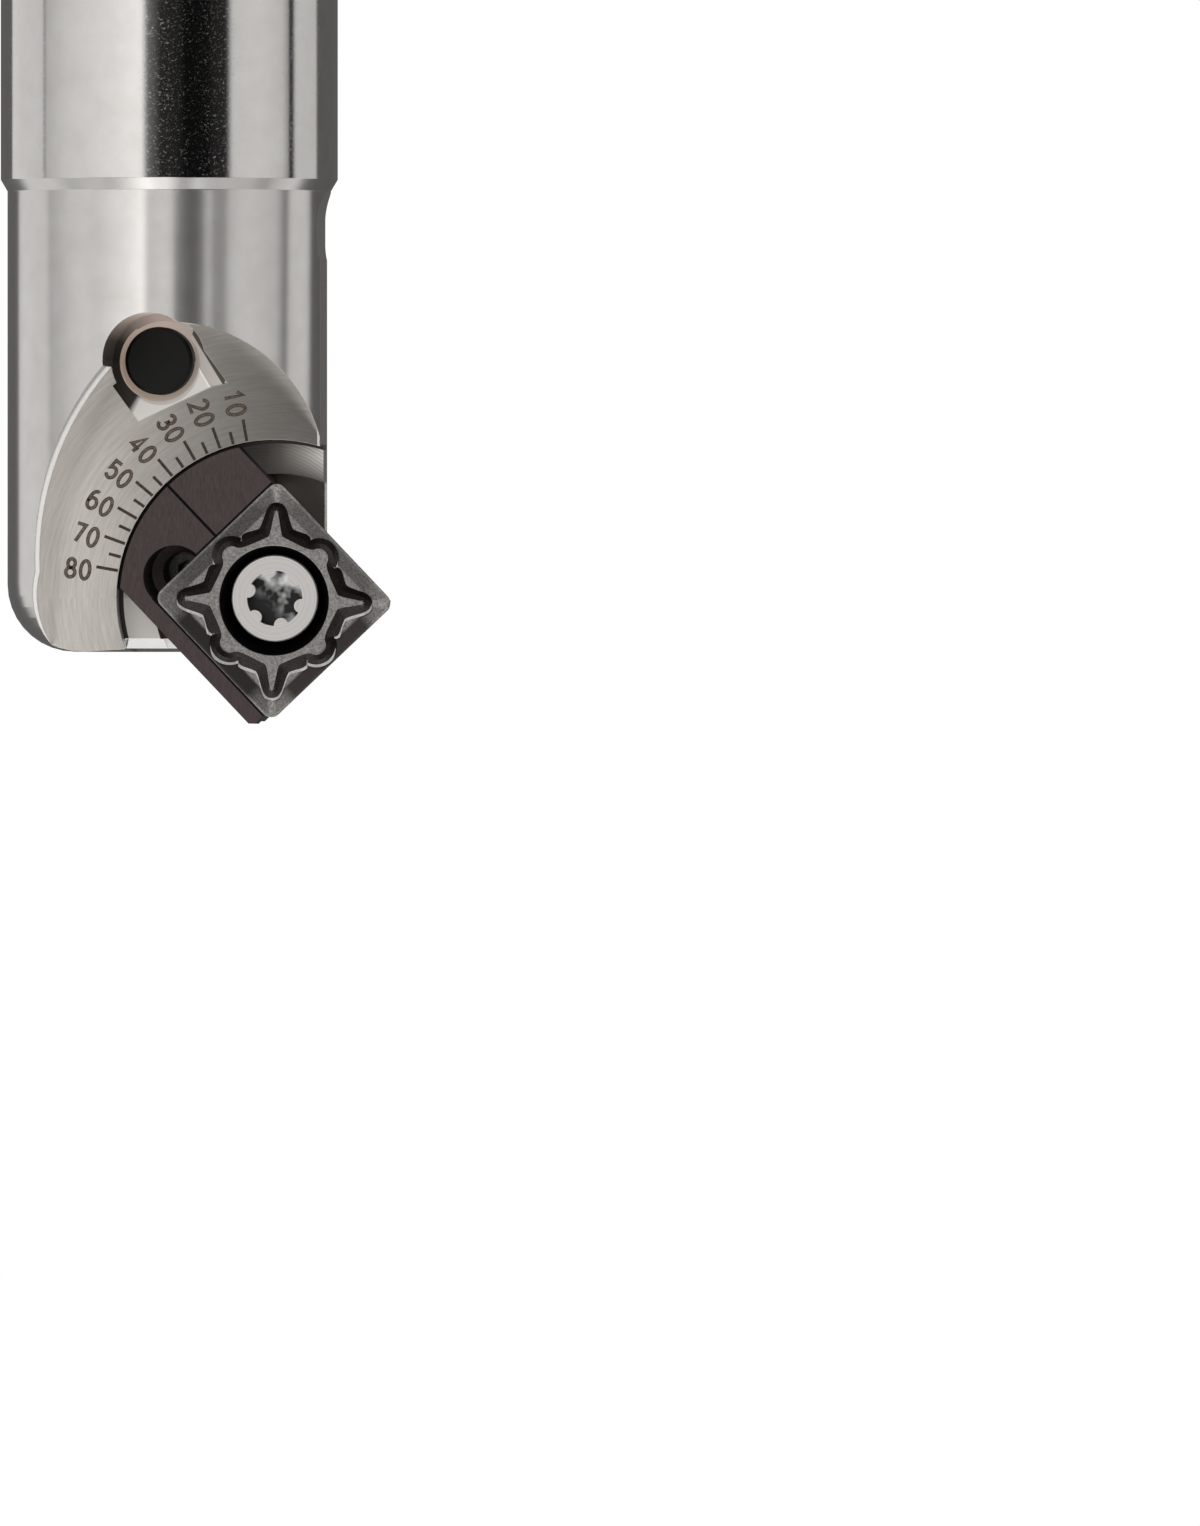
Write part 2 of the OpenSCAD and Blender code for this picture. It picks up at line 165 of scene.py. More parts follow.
class Graph:
    """A small wrapper that makes and links shader nodes."""

    def __init__(self, tree):
        self.tree = tree
        tree.nodes.clear()

    def node(self, kind, **settings):
        n = self.tree.nodes.new(kind)
        for key, value in settings.items():
            setattr(n, key, value)
        return n

    def link(self, a, b):
        self.tree.links.new(a, b)

    def put(self, socket, value):
        """Links a socket's value, or sets a plain one on the socket itself."""
        if isinstance(value, bpy.types.NodeSocket):
            self.link(value, socket)
        else:
            socket.default_value = value

    def fill(self, shader, **values):
        """Puts a value on each named input; an underscore stands for a space."""
        for name, value in values.items():
            self.put(shader.inputs[name.replace("_", " ")], value)

    def math(self, operation, a, b=0.0, clamp=False):
        n = self.node("ShaderNodeMath", operation=operation, use_clamp=clamp)
        self.put(n.inputs[0], a)
        self.put(n.inputs[1], b)
        return n.outputs[0]

    def less(self, value, limit):
        return self.math("LESS_THAN", value, limit)

    def more(self, value, limit):
        return self.math("GREATER_THAN", value, limit)

    def between(self, value, low, high):
        """1 where value lies between low and high."""
        return self.math("MULTIPLY", self.more(value, low), self.less(value, high))

    def near(self, value, middle, reach):
        """1 where value lies within reach of the middle."""
        return self.between(value, middle - reach, middle + reach)

    def both(self, *masks):
        """1 where all masks are 1."""
        out = masks[0]
        for mask in masks[1:]:
            out = self.math("MULTIPLY", out, mask)
        return out

    def either(self, *masks):
        """1 where at least one mask is 1."""
        out = masks[0]
        for mask in masks[1:]:
            out = self.math("MAXIMUM", out, mask)
        return out

    def outside(self, mask):
        return self.math("SUBTRACT", 1.0, mask)

    def slope(self, value, low, high):
        """Rises from 0 at low to 1 at high."""
        share = self.math("SUBTRACT", value, low)
        return self.math("MULTIPLY", share, 1 / (high - low), clamp=True)

    def turn_share(self, angle):
        """An angle from -pi to pi as a share from 0 to 1."""
        return self.math("ADD", self.math("DIVIDE", angle, 2 * math.pi), 0.5)

    def split(self, vector):
        n = self.node("ShaderNodeSeparateXYZ")
        self.link(vector, n.inputs[0])
        return n.outputs

    def join(self, x, y, z):
        n = self.node("ShaderNodeCombineXYZ")
        for socket, value in zip(n.inputs, (x, y, z)):
            self.put(socket, value)
        return n.outputs[0]

    def vector(self, operation, a, b):
        n = self.node("ShaderNodeVectorMath", operation=operation)
        self.put(n.inputs[0], a)
        self.put(n.inputs[1], b)
        return n.outputs["Value"] if operation == "DOT_PRODUCT" else n.outputs[0]

    def hypot(self, a, b):
        squares = [self.math("MULTIPLY", v, v) for v in (a, b)]
        return self.math("SQRT", self.math("ADD", *squares))

    def offsets(self, place, middle_x, middle_z):
        """Distances in x and z from an axis that runs along y."""
        x, _, z = self.split(place)
        return self.math("SUBTRACT", x, middle_x), self.math("SUBTRACT", z, middle_z)

    def holder_axes(self, place):
        """Distances from the swivel axis along the holder's two directions."""
        off_x, off_z = self.offsets(place, PIVOT_X, PIVOT_Z)
        centred = self.join(off_x, self.split(place)[1], off_z)
        along, _, across = self.split(self.stretch(centred, turn=(0, HOLDER_TURN, 0)))
        return along, across

    def mix(self, factor, a, b):
        """Colour a, or b where the factor is 1."""
        n = self.node("ShaderNodeMix", data_type="RGBA")
        self.put(n.inputs[0], factor)
        self.put(n.inputs[6], a)
        self.put(n.inputs[7], b)
        return n.outputs[2]

    def blend(self, factor, a, b):
        """Number a, or b where the factor is 1."""
        n = self.node("ShaderNodeMix", data_type="FLOAT")
        self.put(n.inputs[0], factor)
        self.put(n.inputs[2], a)
        self.put(n.inputs[3], b)
        return n.outputs[0]

    def paint(self, colour, *layers):
        """The colour with each layer, a mask and its colour, laid over it in turn."""
        for mask, layer in layers:
            colour = self.mix(mask, colour, layer)
        return colour

    def cover(self, number, *layers):
        """The number with each layer, a mask and its number, laid over it in turn."""
        for mask, layer in layers:
            number = self.blend(mask, number, layer)
        return number

    def ramp(self, value, stops):
        n = self.node("ShaderNodeValToRGB")
        elements = n.color_ramp.elements
        while len(elements) > 1:
            elements.remove(elements[-1])
        for i, (at, colour) in enumerate(stops):
            e = elements[0] if i == 0 else elements.new(at)
            e.position = at
            e.color = grey(colour) if isinstance(colour, float) else colour
        self.link(value, n.inputs[0])
        return n.outputs[0]

    def noise(self, vector, scale=1.0, detail=2.0, rough=0.5):
        n = self.node("ShaderNodeTexNoise")
        self.fill(n, Scale=scale, Detail=detail, Roughness=rough, Vector=vector)
        return n.outputs[0]

    def stretch(self, vector, scale=(1, 1, 1), turn=(0, 0, 0), shift=(0, 0, 0)):
        n = self.node("ShaderNodeMapping")
        self.fill(n, Location=shift, Rotation=turn, Scale=scale, Vector=vector)
        return n.outputs[0]

    def bump(self, height, normal, strength, distance):
        n = self.node("ShaderNodeBump")
        self.fill(n, Strength=strength, Distance=distance * MM, Height=height, Normal=normal)
        return n.outputs[0]

    def soft_edges(self, radius):
        """The normal, rounded over this radius in millimetres at edges."""
        n = self.node("ShaderNodeBevel", samples=EDGE_SAMPLES)
        self.fill(n, Radius=radius * MM)
        return n.outputs[0]

    def worn_edges(self, rounded):
        """1 along edges, where a painted highlight goes, from the angle between the rounded and
        the true normal.
        """
        cosine = self.vector("DOT_PRODUCT", rounded, self.true_normal())
        return self.slope(cosine, *HIGHLIGHT_COSINES)

    def true_normal(self):
        """The normal of the flat or curved surface itself."""
        return self.node("ShaderNodeNewGeometry").outputs["True Normal"]


def material(name):
    """A new material, its graph, its principled shader and the object's own place in mm."""
    m = bpy.data.materials.new(name)
    m.use_nodes = True
    g = Graph(m.node_tree)
    out = g.node("ShaderNodeOutputMaterial")
    shader = g.node("ShaderNodeBsdfPrincipled")
    g.link(shader.outputs[0], out.inputs[0])
    coords = g.node("ShaderNodeTexCoord").outputs["Object"]
    place = g.stretch(coords, scale=(1 / MM, 1 / MM, 1 / MM))
    return m, g, shader, place


# Cutter body

# How far off its plane each flat face is still found, and how it faces the front
FACE_REACH, UPPER_REACH, LOWER_REACH = 0.04, 0.06, 0.1
FRONTAL, RELIEF_FRONTAL = -0.9, -0.3
# How far the masks keep off the shoulder and the scale face where they border on them
OFF_SHOULDER, OFF_POCKET, OFF_GAP, OFF_WALL, OVER_FACE = 0.01, 0.02, 0.03, 0.05, 0.05
# Grain: turning rings, grinding flecks, and arcs around the swivel axis per mm and radian
TURNING = (0.02, 0.02, 9.0)
GRINDING = (5.0, 5.0, 7.0)
ARCS_PER_MM, ARCS_PER_RADIAN = 7.0, 6.0
FLECKS_FROM, FLECKS_TO = 0.56, 0.66
# Milling marks on the upper floor, as rings around this point
MARKS_X, MARKS_Z = 6.75, -27.4
MARKS_SCALE, MARKS_DISTORTION, MARKS_DETAIL = 1.35, 1.2, 2.0
MARKS_DEPTH = 0.32
# How much the scale face's normal leans outwards per mm from the axis
FACE_CROWN = 0.0192
# Share of its own colour that a surface gives off, where the photo shows it lit from the side
MATT_GLOW, FLOOR_GLOW, WALL_GLOW = 0.42, 0.16, 0.3

PLATING = [(0.3, rgb(0.76, 0.745, 0.73)), (0.7, rgb(0.82, 0.81, 0.80))]
SATIN = [(0.3, rgb(0.49, 0.46, 0.43)), (0.7, rgb(0.64, 0.61, 0.58))]
# Painted shade: the satin face is darkened from the first to the second of these places across the
# tool
SATIN_SHADE, DIM_FROM, DIM_TO = (0.8, 0.8, 0.8), -1.0, 4.5
# The upper floor, between these two places across the tool, with painted light at its left, a
# painted shadow next to the holder and painted light again at its right
FLOOR_X0, FLOOR_X1 = -4.0, 12.0
FLOOR_LIGHT_AND_SHADE = [(0.0, rgb(0.70, 0.67, 0.64)), (0.3, rgb(0.62, 0.59, 0.56)),
               (0.48, rgb(0.10, 0.09, 0.082)), (0.7, rgb(0.06, 0.052, 0.046)),
               (0.77, rgb(0.15, 0.135, 0.12)), (0.85, rgb(0.42, 0.39, 0.36)),
               (0.96, rgb(0.85, 0.81, 0.77))]
MARK_TONE = rgb(0.12, 0.105, 0.095)
# Shade under the holder's base, between these distances from the swivel axis
RIM_SHADE, RIM_FROM, RIM_TO = rgb(0.10, 0.088, 0.08), 10.9, 9.2
# Painted light on the foot of the upper floor
FOOT_LIGHT = rgb(0.80, 0.76, 0.72)
# Painted shade on the deep lower floor
LOWER_FLOOR_SHADE = rgb(0.15, 0.13, 0.115)
# Painted shadow in the gap around the holder's base
GAP_SHADOW = rgb(0.035, 0.028, 0.025)
# Painted light: the matt relief is near white and glows
RELIEF_LIGHT = rgb(0.9, 0.89, 0.88)
# Painted highlight along the body's edges at the scale face
EDGE_HIGHLIGHT, EDGE_HIGHLIGHT_SHARE = rgb(0.97, 0.96, 0.94), 0.8
# The plug's pocket and ring, by the share of a turn around the plug: painted shadow on the
# pocket's left wall, painted light elsewhere, and painted light and shade around the ring
POCKET_LIGHT_AND_SHADE = [(0.0, rgb(0.02, 0.017, 0.014)), (0.16, rgb(0.02, 0.017, 0.014)),
                (0.18, rgb(0.62, 0.59, 0.56)), (0.5, rgb(0.66, 0.64, 0.61)),
                (0.62, rgb(0.62, 0.58, 0.54)), (0.78, rgb(0.56, 0.47, 0.42)),
                (0.87, rgb(0.20, 0.16, 0.14)), (0.93, rgb(0.03, 0.025, 0.02)),
                (1.0, rgb(0.012, 0.010, 0.008))]
RING_LIGHT_AND_SHADE = [(0.0, rgb(0.50, 0.38, 0.30)), (0.25, rgb(0.62, 0.50, 0.42)),
              (0.5, rgb(0.50, 0.44, 0.40)), (0.75, rgb(0.70, 0.60, 0.53)),
              (1.0, rgb(0.50, 0.38, 0.30))]
# Painted highlight at the ledge's inner edge and painted shade on the small wall at its outer edge
LEDGE_LIGHT_AND_SHADE = [(0.08, rgb(0.92, 0.90, 0.87)), (0.14, rgb(0.46, 0.42, 0.39)),
               (0.80, rgb(0.54, 0.51, 0.48)), (0.86, rgb(0.08, 0.07, 0.06))]
# The outline's wall stands in front of the scale face, with a painted highlight that is bright
# near the face and grey further off, between these places
WALL_FAR, WALL_NEAR = FACE_Y - 5.0, FACE_Y - 3.0
WALL_HIGHLIGHT = [(0.0, rgb(0.40, 0.385, 0.37)), (1.0, rgb(0.92, 0.91, 0.89))]


def body_masks(g, place):
    """Masks for the body's surfaces."""
    x, y, z = g.split(place)
    normal_y = g.split(g.true_normal())[1]
    over = g.math("SUBTRACT", z, CORNER_Z)
    squared = g.math("SUBTRACT", CORNER_R ** 2, g.math("MULTIPLY", over, over))
    corner = g.math("ADD", g.math("SQRT", g.math("MAXIMUM", squared, 0.0)), HEAD_R - CORNER_R)
    blank = g.blend(g.less(z, CORNER_Z), HEAD_R, corner)
    radius = g.hypot(x, y)
    skin = g.more(radius, g.math("SUBTRACT", blank, SKIN))
    cut = g.both(g.outside(skin), g.less(z, CUT_TOP))
    frontal = g.both(cut, g.less(normal_y, FRONTAL))
    from_pivot = g.hypot(*g.offsets(place, PIVOT_X, PIVOT_Z))
    plug_x, plug_z = g.offsets(place, PLUG_X, PLUG_Z)
    from_plug = g.hypot(plug_x, plug_z)
    near_plug = g.both(g.less(from_plug, POCKET_R),
                       g.between(y, FACE_Y + OFF_POCKET, POCKET_BACK), cut)
    plug_wall = g.both(g.less(from_plug, POCKET_WALL_R), g.less(y, FACE_Y - OFF_POCKET), cut)
    over_ledge = g.math("ADD", g.math("MULTIPLY", plug_x, LEDGE_X),
                        g.math("MULTIPLY", plug_z, LEDGE_Z))
    on = dict(
        head=g.both(skin, g.less(z, CONE_END)),
        shank=g.both(g.more(radius, SHANK_SKIN_R), g.more(z, OFF_SHOULDER)),
        scale_face=g.both(g.near(y, FACE_Y, FACE_REACH), frontal),
        upper_floor=g.both(g.near(y, UPPER_FLOOR_Y, UPPER_REACH), frontal),
        lower_floor=g.both(g.near(y, LOWER_FLOOR_Y, LOWER_REACH), frontal),
        outline_wall=g.both(cut, g.less(y, FACE_Y - OFF_WALL), g.less(x, OUTLINE_WALL_X)),
        gap=g.both(g.between(from_pivot, GAP_FROM, GAP_TO), g.more(y, FACE_Y + OFF_GAP), cut),
        pocket=g.either(near_plug, plug_wall),
        ring=g.both(near_plug, g.less(from_plug, RING_R)),
        ledge=g.both(near_plug, g.slope(over_ledge, *LEDGE_EDGE),
                     g.less(plug_z, LEDGE_TOP)),
        relief=g.both(g.less(z, RELIEF_Z), g.between(y, RELIEF_FRONT, RELIEF_BACK), cut,
                      g.less(normal_y, RELIEF_FRONTAL)),
        ledge_share=g.slope(over_ledge, LEDGE_FROM, LEDGE_TO),
        edge_zone=g.both(cut, g.less(y, FACE_Y + OVER_FACE)))
    on["foot"] = g.both(on["upper_floor"], g.less(z, FOOT_Z))
    on["matt"] = g.either(on["pocket"], on["relief"], on["outline_wall"])
    return on


def body_colour(g, place, on, grain, marks):
    """The body's colour, with the later layers over the earlier ones."""
    x, y, _ = g.split(place)
    from_pivot = g.hypot(*g.offsets(place, PIVOT_X, PIVOT_Z))
    plug_x, plug_z = g.offsets(place, PLUG_X, PLUG_Z)
    around_plug = g.turn_share(g.math("ARCTAN2", plug_z, plug_x))
    satin = g.ramp(grain, SATIN)
    satin = g.mix(g.slope(x, DIM_FROM, DIM_TO), satin, g.vector("MULTIPLY", satin, SATIN_SHADE))
    floor = g.paint(g.ramp(g.slope(x, FLOOR_X0, FLOOR_X1), FLOOR_LIGHT_AND_SHADE),
                    (g.math("MULTIPLY", marks, MARKS_DEPTH), MARK_TONE),
                    (g.slope(from_pivot, RIM_FROM, RIM_TO), RIM_SHADE))
    return g.paint(g.ramp(g.noise(place, scale=0.5, detail=3.0), PLATING),
                   (on["scale_face"], satin),
                   (on["upper_floor"], floor),
                   (on["foot"], FOOT_LIGHT),
                   (on["lower_floor"], LOWER_FLOOR_SHADE),
                   (on["gap"], GAP_SHADOW),
                   (on["pocket"], g.ramp(around_plug, POCKET_LIGHT_AND_SHADE)),
                   (on["ledge"], g.ramp(on["ledge_share"], LEDGE_LIGHT_AND_SHADE)),
                   (on["ring"], g.ramp(around_plug, RING_LIGHT_AND_SHADE)),
                   (on["relief"], RELIEF_LIGHT),
                   (on["outline_wall"], g.ramp(g.slope(y, WALL_FAR, WALL_NEAR), WALL_HIGHLIGHT)))


def body_material():
    """Bright plated steel: ground shank, turned head, satin milled faces."""
    m, g, shader, place = material("plated_steel")
    x, y, _ = g.split(place)
    on = body_masks(g, place)
    off_x, off_z = g.offsets(place, PIVOT_X, PIVOT_Z)
    turning = g.noise(g.stretch(place, scale=TURNING), detail=3.0, rough=0.7)
    grinding = g.noise(g.stretch(place, scale=GRINDING), detail=3.0, rough=0.7)
    arcs = g.join(g.math("MULTIPLY", g.hypot(off_x, off_z), ARCS_PER_MM),
                  g.math("MULTIPLY", g.math("ARCTAN2", off_z, off_x), ARCS_PER_RADIAN), y)
    grain = g.noise(arcs, detail=4.0, rough=0.7)
    rings = g.node("ShaderNodeTexWave", wave_type="RINGS", rings_direction="Y")
    g.fill(rings, Scale=MARKS_SCALE, Distortion=MARKS_DISTORTION, Detail=MARKS_DETAIL,
           Vector=g.stretch(place, shift=(-MARKS_X, 0, -MARKS_Z)))
    marks = rings.outputs["Fac"]

    height = g.cover(grinding, (on["head"], turning), (on["scale_face"], grain),
                     (on["upper_floor"], marks))
    edges = g.soft_edges(0.06)
    lean = g.both(on["scale_face"], g.math("MULTIPLY", x, FACE_CROWN))
    crowned = g.vector("ADD", edges, g.join(lean, 0.0, 0.0))
    colour = body_colour(g, place, on, grain, marks)
    edge_highlight = g.both(g.worn_edges(edges), on["edge_zone"], EDGE_HIGHLIGHT_SHARE)
    flecks = g.slope(grinding, FLECKS_FROM, FLECKS_TO)
    rough = g.cover(0.22, (on["shank"], g.blend(flecks, 0.07, 0.2)), (on["head"], 0.24),
                    (on["scale_face"], 0.3), (on["matt"], 0.6), (on["upper_floor"], 0.35))
    metal = g.cover(1.0, (on["scale_face"], 0.88), (on["upper_floor"], 0.3), (on["matt"], 0.0))
    glow = g.math("ADD", g.math("MULTIPLY", on["matt"], MATT_GLOW),
                  g.math("MULTIPLY", on["upper_floor"], FLOOR_GLOW))
    around_axis = g.node("ShaderNodeTangent", direction_type="RADIAL", axis="Z").outputs[0]
    g.fill(shader, Base_Color=g.mix(edge_highlight, colour, EDGE_HIGHLIGHT), Roughness=rough, Metallic=metal,
           Normal=g.bump(height, crowned, strength=0.15, distance=0.01), Tangent=around_axis,
           Anisotropic=g.math("MULTIPLY", on["head"], 0.9), Anisotropic_Rotation=0.25,
           Emission_Color=colour,
           Emission_Strength=g.blend(on["outline_wall"], glow, WALL_GLOW))
    return m


# Holder, insert and screws

HOLDER_GRAIN, HOLDER_GRAIN_TURN = (6.0, 4.0, 1.5), math.radians(46)
HOLDER_TONES = [(0.3, rgb(0.068, 0.053, 0.051)), (0.7, rgb(0.12, 0.096, 0.092))]
HOLDER_CLOUD, CLOUD_SHARE = rgb(0.094, 0.077, 0.079), 0.5
# Painted shade beside the seat; the pointer line has this dark tone too
SEAT_SHADE_AND_POINTER = rgb(0.006, 0.005, 0.005)

# The insert's speckle, and where its edge and corner zones start and end from its middle
CARBIDE_TONES = [(0.38, rgb(0.19, 0.182, 0.175)), (0.62, rgb(0.47, 0.455, 0.445))]
EDGE_ZONE = (5.05, 5.3)
CORNER_ZONE = (3.6, 4.5)
# Painted shade on the rakes along the edges, off the corners, stronger below the swivel axis
EDGE_SHADE = rgb(0.07, 0.063, 0.06)
SHADE_BELOW, SHADE_ABOVE, SHADE_REACH = 0.97, 0.4, 1.0
# Painted shade in the mouth of the insert's hole
MOUTH_SHADE = rgb(0.012, 0.010, 0.010)
# Painted highlight on the insert's lower edges
CARBIDE_HIGHLIGHT, CARBIDE_HIGHLIGHT_SHARE = rgb(0.85, 0.83, 0.81), 0.7
# Heights of a normal between which an edge or a slope comes to count as facing down
LOWER_EDGE, LOWER_SLOPE = (0.0, -0.25), (0.1, -0.3)

# The star's slopes, with painted shade that is darkest where they face up, and the painted
# highlight along their foot
STAR_SPECKLE = {"scale": 9.0, "detail": 3.0, "rough": 0.7}
STAR_UP_SHADE = [(0.35, rgb(0.010, 0.008, 0.008)), (0.65, rgb(0.026, 0.023, 0.022))]
STAR_DOWN_SHADE = [(0.35, rgb(0.045, 0.042, 0.040)), (0.65, rgb(0.095, 0.089, 0.086))]
STAR_HIGHLIGHT = [(0.35, rgb(0.50, 0.49, 0.48)), (0.65, rgb(0.78, 0.76, 0.74))]

SCREW_RINGS_PER_MM = 9.0
SCREW_TONES = [(0.3, rgb(0.73, 0.715, 0.70)), (0.7, rgb(0.91, 0.895, 0.88))]
SOCKET_REFLECTIONS = [(0.42, grey(0.01)), (0.62, grey(0.8))]
# Painted shade over the socket, from the first of these places to the second, along x + z
SOCKET_SHADE, SHADED = grey(0.015), (0.8, -1.6)
LOCK_TONES = [(0.3, rgb(0.03, 0.028, 0.028)), (0.7, rgb(0.07, 0.066, 0.064))]
PLUG_TONES = [(0.3, grey(0.003)), (0.7, grey(0.007))]


def holder_material():
    """Blackened steel with a fine crossed grain, painted shade in lines beside the seat and a dark
    pointer line.
    """
    m, g, shader, place = material("blackened_steel")
    y = g.split(place)[1]
    along, across = g.holder_axes(place)
    fibres = g.stretch(place, scale=HOLDER_GRAIN, turn=(0, HOLDER_GRAIN_TURN, 0))
    grain = g.noise(fibres, detail=5.0, rough=0.7)
    clouds = g.math("MULTIPLY", g.noise(place, scale=0.5), CLOUD_SHARE)
    beside_left = g.both(g.between(along, SEAT_LEFT - SEAT_LINE_OUT, SEAT_LEFT + SEAT_LINE_IN),
                         g.more(across, SEAT_LOW))
    beside_low = g.both(g.between(across, SEAT_LOW - SEAT_LINE_OUT, SEAT_LOW + SEAT_LINE_IN),
                        g.more(along, SEAT_LEFT))
    seat_shade = g.both(g.less(y, TOP_BACK), g.either(beside_left, beside_low))
    pointer = g.both(g.between(y, TOP_BACK, TOP_Y + POINTER_DEPTH),
                     g.near(across, 0.0, POINTER_HALF_W))
    colour = g.paint(g.ramp(grain, HOLDER_TONES), (clouds, HOLDER_CLOUD),
                     (g.either(seat_shade, pointer), SEAT_SHADE_AND_POINTER))
    g.fill(shader, Base_Color=colour, Roughness=g.ramp(grain, [(0.2, 0.4), (0.8, 0.52)]),
           Normal=g.bump(grain, g.soft_edges(0.05), strength=0.15, distance=0.01), Metallic=0.85)
    return m


def insert_material():
    """Dark coated carbide with a fine speckle, with painted shade along its edges but not at its
    corners, painted shade in its hole's mouth and a painted highlight on its lower edges.
    """
    m, g, shader, place = material("coated_carbide")
    _, y, z = g.split(place)
    along, across = g.holder_axes(place)
    u = g.math("ABSOLUTE", g.math("SUBTRACT", along, INSERT_U))
    v = g.math("ABSOLUTE", g.math("SUBTRACT", across, INSERT_V))
    speckle = g.noise(place, scale=6.5, detail=4.0, rough=0.8)
    edge = g.slope(g.math("MAXIMUM", u, v), *EDGE_ZONE)
    corner = g.slope(g.math("MINIMUM", u, v), *CORNER_ZONE)
    height = g.slope(z, PIVOT_Z - SHADE_REACH, PIVOT_Z + SHADE_REACH)
    shade_share = g.blend(height, SHADE_BELOW, SHADE_ABOVE)
    mouth = g.both(g.less(g.hypot(u, v), MOUTH_R), g.more(y, MOUTH_Y))
    rounded = g.soft_edges(0.09)
    lower = g.slope(g.split(rounded)[2], *LOWER_EDGE)
    edge_highlight = g.both(g.worn_edges(rounded), lower, g.outside(mouth), CARBIDE_HIGHLIGHT_SHARE)
    colour = g.paint(g.ramp(speckle, CARBIDE_TONES),
                     (g.both(edge, g.outside(corner), shade_share), EDGE_SHADE),
                     (mouth, MOUTH_SHADE), (edge_highlight, CARBIDE_HIGHLIGHT))
    rough = g.blend(edge_highlight, g.ramp(speckle, [(0.3, 0.42), (0.7, 0.3)]), 0.25)
    g.fill(shader, Base_Color=colour, Roughness=rough, Metallic=0.92,
           Normal=g.bump(speckle, rounded, strength=0.25, distance=0.02))
    return m


def star_material():
    """Slopes around the insert's raised star, with painted shade that makes them almost black
    where they face up.
    """
    m, g, shader, place = material("star_slope")
    speckle = g.noise(place, **STAR_SPECKLE)
    normal = g.node("ShaderNodeTexCoord").outputs["Normal"]
    down = g.slope(g.split(normal)[2], *LOWER_SLOPE)
    colour = g.mix(down, g.ramp(speckle, STAR_UP_SHADE), g.ramp(speckle, STAR_DOWN_SHADE))
    g.fill(shader, Base_Color=colour, Metallic=0.95, Roughness=0.45)
    return m


def star_edge_material():
    """Painted highlight along the foot of the star's lower slopes."""
    m, g, shader, place = material("star_edge")
    speckle = g.noise(place, **STAR_SPECKLE)
    g.fill(shader, Base_Color=g.ramp(speckle, STAR_HIGHLIGHT), Metallic=0.5, Roughness=0.4)
    return m


def screw_material():
    """Light satin steel, turned in rings around the swivel axis, with painted reflections, painted
    shade and a faint glow in its socket.
    """
    m, g, shader, place = material("satin_screw_steel")
    y = g.split(place)[1]
    off_x, off_z = g.offsets(place, PIVOT_X, PIVOT_Z)
    off = g.hypot(off_x, off_z)
    rings = g.noise(g.join(g.math("MULTIPLY", off, SCREW_RINGS_PER_MM), y, 0.0),
                    detail=3.0, rough=0.6)
    socket = g.both(g.more(y, SOCKET_Y), g.less(off, SOCKET_R))
    # Painted reflections in the socket, which glow a little
    clouds = g.ramp(g.noise(g.stretch(place, shift=(3, 0, 1)), scale=0.75), SOCKET_REFLECTIONS)
    shaded = g.slope(g.math("ADD", off_x, off_z), *SHADED)
    clouds = g.mix(shaded, clouds, SOCKET_SHADE)
    g.fill(shader, Base_Color=g.mix(socket, g.ramp(rings, SCREW_TONES), clouds), Roughness=0.34,
           Emission_Color=clouds, Emission_Strength=g.math("MULTIPLY", socket, 0.25),
           Normal=g.bump(rings, g.soft_edges(0.05), strength=0.12, distance=0.01),
           Metallic=g.blend(socket, 1.0, 0.4))
    return m


def lock_material():
    """Black oxide on the lock screw."""
    m, g, shader, place = material("black_oxide")
    grain = g.noise(place, scale=6.0, detail=3.0)
    g.fill(shader, Base_Color=g.ramp(grain, LOCK_TONES), Metallic=0.7,
           Roughness=g.ramp(grain, [(0.3, 0.5), (0.7, 0.35)]),
           Normal=g.bump(grain, g.soft_edges(0.04), strength=0.1, distance=0.01))
    return m


def plug_material():
    """Matt black plug."""
    m, g, shader, place = material("matt_black")
    grain = g.noise(place, scale=5.0, detail=4.0)
    g.fill(shader, Base_Color=g.ramp(grain, PLUG_TONES), Specular_IOR_Level=0.3,
           Roughness=g.ramp(grain, [(0.3, 0.45), (0.7, 0.6)]),
           Normal=g.bump(grain, g.soft_edges(0.08), strength=0.2, distance=0.02))
    return m


def engraving_material(name, dark, light):
    """Brown laser marking with an uneven tone."""
    m, g, shader, place = material(name)
    burn = g.noise(place, scale=7.0, detail=3.0, rough=0.6)
    g.fill(shader, Base_Color=g.ramp(burn, [(0.35, dark), (0.65, light)]), Metallic=0.3,
           Roughness=g.ramp(burn, [(0.3, 0.6), (0.7, 0.8)]))
    return m


# Engraved scale: ticks and numbers as flat strips on the scale face

SCALE_ZERO = 90
FIRST_VALUE, LAST_VALUE, STEP, LABEL_STEP = 10, 80, 5, 10
# Distances from the swivel axis, then widths, the core's share of a number's stroke, and
# the numbers' size, pitch and turn in degrees from their ticks
TICK_START, TICK_SHORT, TICK_LONG = 11.82, 12.75, 13.45
FIRST_DIGIT_R = 15.3
TICK_W, STROKE_W = 0.23, 0.27
CORE_SHARE = 0.4
DIGIT_H, DIGIT_W, DIGIT_PITCH = 1.36, 0.8, 1.07
LABEL_TURN = 1.5
MARK_LIFT = 0.008
# The least cosine by which a strip is widened at a bend
SHARPEST_MITRE = 0.5


